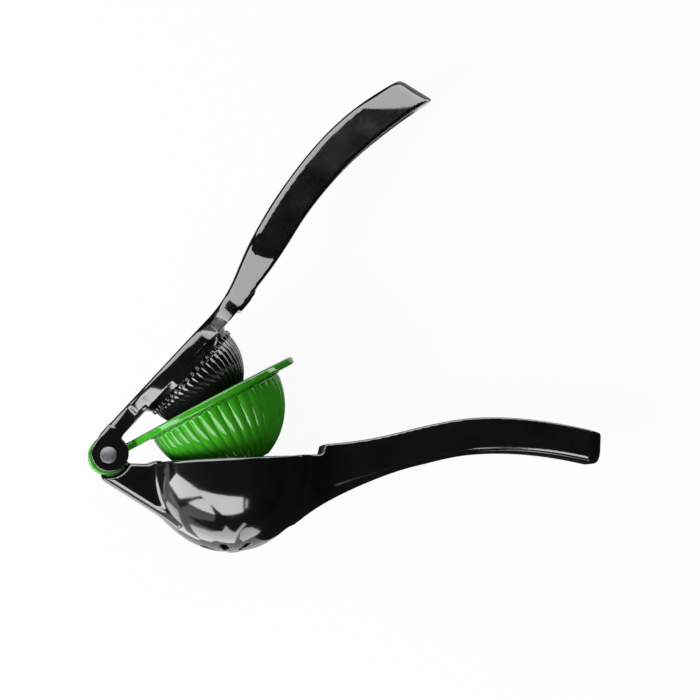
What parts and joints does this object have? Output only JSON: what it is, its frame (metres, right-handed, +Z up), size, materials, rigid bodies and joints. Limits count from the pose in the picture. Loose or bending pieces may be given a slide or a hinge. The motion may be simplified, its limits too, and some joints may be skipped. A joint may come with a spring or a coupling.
{
  "type": "hinged citrus squeezer",
  "caption": "Hand squeezer with two curved levers on one rivet, a bowl with drain slots, a ribbed middle cup for small fruit and a ribbed press dome.",
  "frame": {"origin": "lowest point of the bowl, on the bowl's vertical axis, where the juice leaves", "axes": "+X from the bowl to the end of the lower handle, +Y along the hinge rivet, +Z up out of the bowl's rim; stored open, with the cup 25.3 degrees and the upper lever 44.5 degrees above closed"},
  "size_m": [0.2292, 0.0732, 0.2071],
  "materials": {
    "black_enamel": "gloss black baked enamel over die-cast aluminium",
    "green_enamel": "gloss green baked enamel over die-cast aluminium",
    "rivet_steel": "brushed domed rivet heads"
  },
  "bodies": {
    "lower": {"lower_lever": "black_enamel"},
    "cup": {"middle_cup": "green_enamel"},
    "upper": {"upper_lever": "black_enamel", "hinge_pin": "rivet_steel"}
  },
  "joints": [
    {"name": "cup_hinge", "type": "hinge", "parent": "lower", "child": "cup", "pos_m": [-0.053, 0, 0.045], "axis": [0, -1, 0], "range_deg": [-26, 30]},
    {"name": "upper_hinge", "type": "hinge", "parent": "cup", "child": "upper", "pos_m": [-0.053, 0, 0.045], "axis": [0, -1, 0], "range_deg": [-18.5, 40]}
  ]
}
